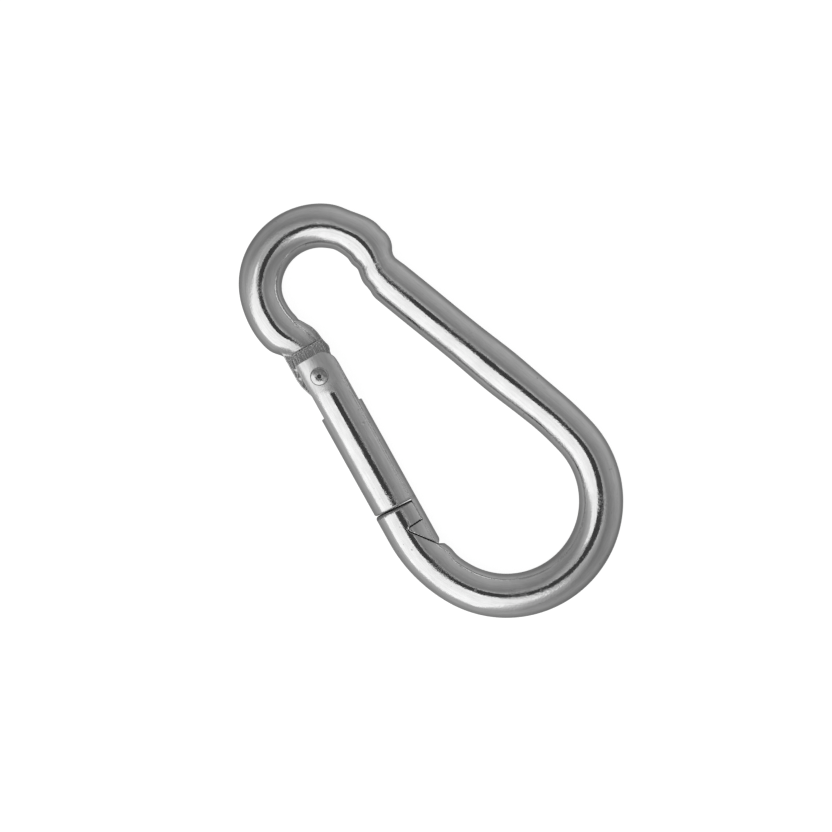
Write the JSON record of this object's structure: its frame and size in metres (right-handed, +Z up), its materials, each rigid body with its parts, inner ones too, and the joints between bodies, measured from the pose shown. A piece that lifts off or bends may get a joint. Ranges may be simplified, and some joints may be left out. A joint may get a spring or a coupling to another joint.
{
  "type": "spring snap hook",
  "caption": "Pear-shaped spring snap hook bent from round steel wire, with a sprung gate that opens inwards and latches on a hooked nose.",
  "frame": {"origin": "centre of the hook's box in plan, on the surface that it lies on", "axes": "+X along the hook's length from the small hinge-end eye to the large bow; +Y towards the solid spine, so the gate is on the -Y side; +Z up through the hook's thickness"},
  "size_m": [0.12, 0.0586, 0.0114],
  "materials": {
    "zinc_steel": "bright zinc plate over drawn steel wire, fine drawing lines and small pits",
    "rivet_steel": "bright zinc plate, peened dome",
    "spring_steel": "drawn spring steel, lightly oiled"
  },
  "bodies": {
    "ring": {"body": "zinc_steel"},
    "gate_arm": {"gate": "zinc_steel", "pivot_rivet": "rivet_steel", "gate_spring": "spring_steel"},
    "plunger": {"spring_plunger": "spring_steel"}
  },
  "joints": [
    {"name": "gate_hinge", "type": "hinge", "parent": "ring", "child": "gate_arm", "pos_m": [-0.02234, -0.01528, 0.0057], "axis": [0, 0, 1], "range_deg": [0, 32], "stiffness_Nm_per_rad": 0.06, "springref_deg": -57.3},
    {"name": "plunger_slide", "type": "slide", "parent": "gate_arm", "child": "plunger", "axis": [0.982, -0.1891, 0], "range_m": [0, 0.00068], "deforming": ["gate_spring"]}
  ],
  "couplings": [
    {"joint": "plunger_slide", "follows": "gate_hinge", "m_per_rad": 0.0011845}
  ]
}
